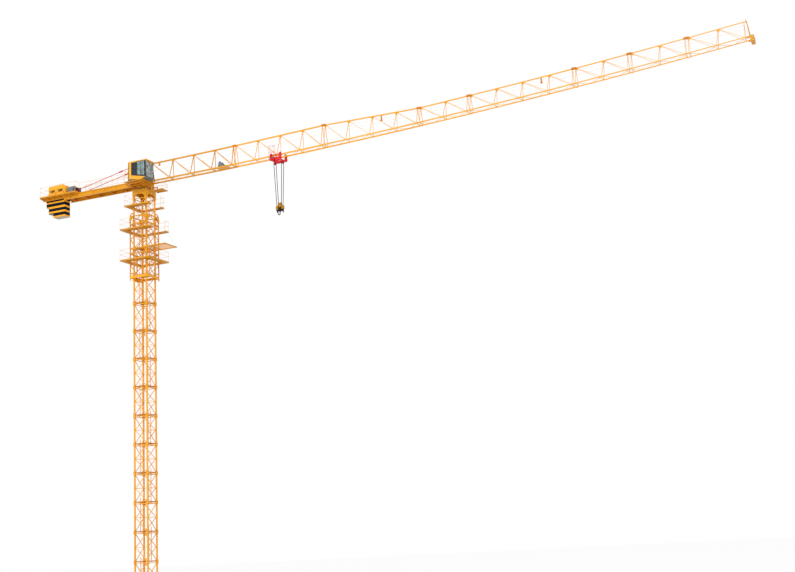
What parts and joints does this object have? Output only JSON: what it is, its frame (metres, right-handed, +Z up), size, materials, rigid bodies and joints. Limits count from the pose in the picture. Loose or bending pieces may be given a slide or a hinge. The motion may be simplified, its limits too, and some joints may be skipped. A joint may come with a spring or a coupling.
{
  "type": "tower crane, 1:10 scale model",
  "caption": "Flat-top tower crane: lattice mast with climbing cage, slewing cambered jib, counter-jib, cab, trolley and hook block on rope falls, as a one-tenth scale model.",
  "frame": {"origin": "centre of the four feet, on their undersides, on the mast's axis", "axes": "+X along the jib, +Z up the mast, the cab on the -Y side"},
  "size_m": [7.341, 0.412, 4.4839],
  "materials": {
    "crane_paint": "satin orange-yellow paint",
    "dark_steel": "dark greased steel",
    "red_paint": "satin red paint",
    "grey_paint": "grey machine paint",
    "cab_glass": "tinted glass",
    "weight_paint": "concrete painted in orange and dark blue bands",
    "block_paint": "orange paint with black stripes"
  },
  "bodies": {
    "mast": {"base_feet": "crane_paint", "mast_section_01": "crane_paint", "mast_section_02": "crane_paint", "mast_section_03": "crane_paint", "mast_section_04": "crane_paint", "mast_section_05": "crane_paint", "mast_section_06": "crane_paint", "mast_section_07": "crane_paint", "mast_section_08": "crane_paint", "mast_section_09": "crane_paint", "mast_section_10": "crane_paint", "mast_section_11": "crane_paint", "mast_section_12": "crane_paint", "mast_section_13": "crane_paint", "mast_head_section": "crane_paint", "climbing_cage": "crane_paint", "cage_shoulders": "crane_paint", "upper_platform": "crane_paint", "middle_platform": "crane_paint", "lower_platform": "crane_paint", "guide_platform": "crane_paint", "jacking_gear": "dark_steel", "lower_slewing_support": "crane_paint", "slewing_ring": "dark_steel"},
    "upperworks": {"turret": "crane_paint", "tower_head": "crane_paint", "access_platform": "crane_paint", "cab_deck": "crane_paint", "cab_body": "crane_paint", "cab_glass": "cab_glass", "jib_section_1": "crane_paint", "jib_section_2": "crane_paint", "jib_section_3": "crane_paint", "jib_section_4": "crane_paint", "jib_section_5": "crane_paint", "jib_section_6": "crane_paint", "jib_section_7": "crane_paint", "jib_section_8": "crane_paint", "jib_tip": "crane_paint", "trolley_winch": "grey_paint", "counter_jib_frame": "crane_paint", "counter_jib_deck": "crane_paint", "counter_jib_stays": "red_paint", "counterweights": "weight_paint", "winch_house": "crane_paint", "hoist_winch": "grey_paint"},
    "trolley": {"trolley_frame": "red_paint", "trolley_wheels": "dark_steel", "trolley_sheaves": "dark_steel"},
    "rope_falls": {"hoist_ropes": "dark_steel"},
    "hook_block": {"hook_block": "block_paint", "block_sheaves": "dark_steel"},
    "hook": {"hook": "dark_steel"}
  },
  "joints": [
    {"name": "slew", "type": "hinge", "parent": "mast", "child": "upperworks", "pos_m": [0, 0, 4.0075], "axis": [0, 0, 1], "continuous": true},
    {"name": "trolley_travel", "type": "hinge", "parent": "upperworks", "child": "trolley", "pos_m": [0, 0, 79.3675], "axis": [0, -1, 0], "range_deg": [-0.89, 3.34]},
    {"name": "rope_plumb", "type": "hinge", "parent": "trolley", "child": "rope_falls", "pos_m": [1.5714, 0, 4.01688], "axis": [0, -1, 0], "range_deg": [-3.35, 0.9]},
    {"name": "hoist", "type": "slide", "parent": "rope_falls", "child": "hook_block", "axis": [0, 0, 1], "range_m": [-3.38, 0.25], "deforming": ["hoist_ropes"]},
    {"name": "hook_swivel", "type": "hinge", "parent": "hook_block", "child": "hook", "pos_m": [1.5714, 0, 3.53258], "axis": [0, 0, 1], "continuous": true}
  ],
  "couplings": [
    {"joint": "rope_plumb", "follows": "trolley_travel", "ratio": -1}
  ]
}
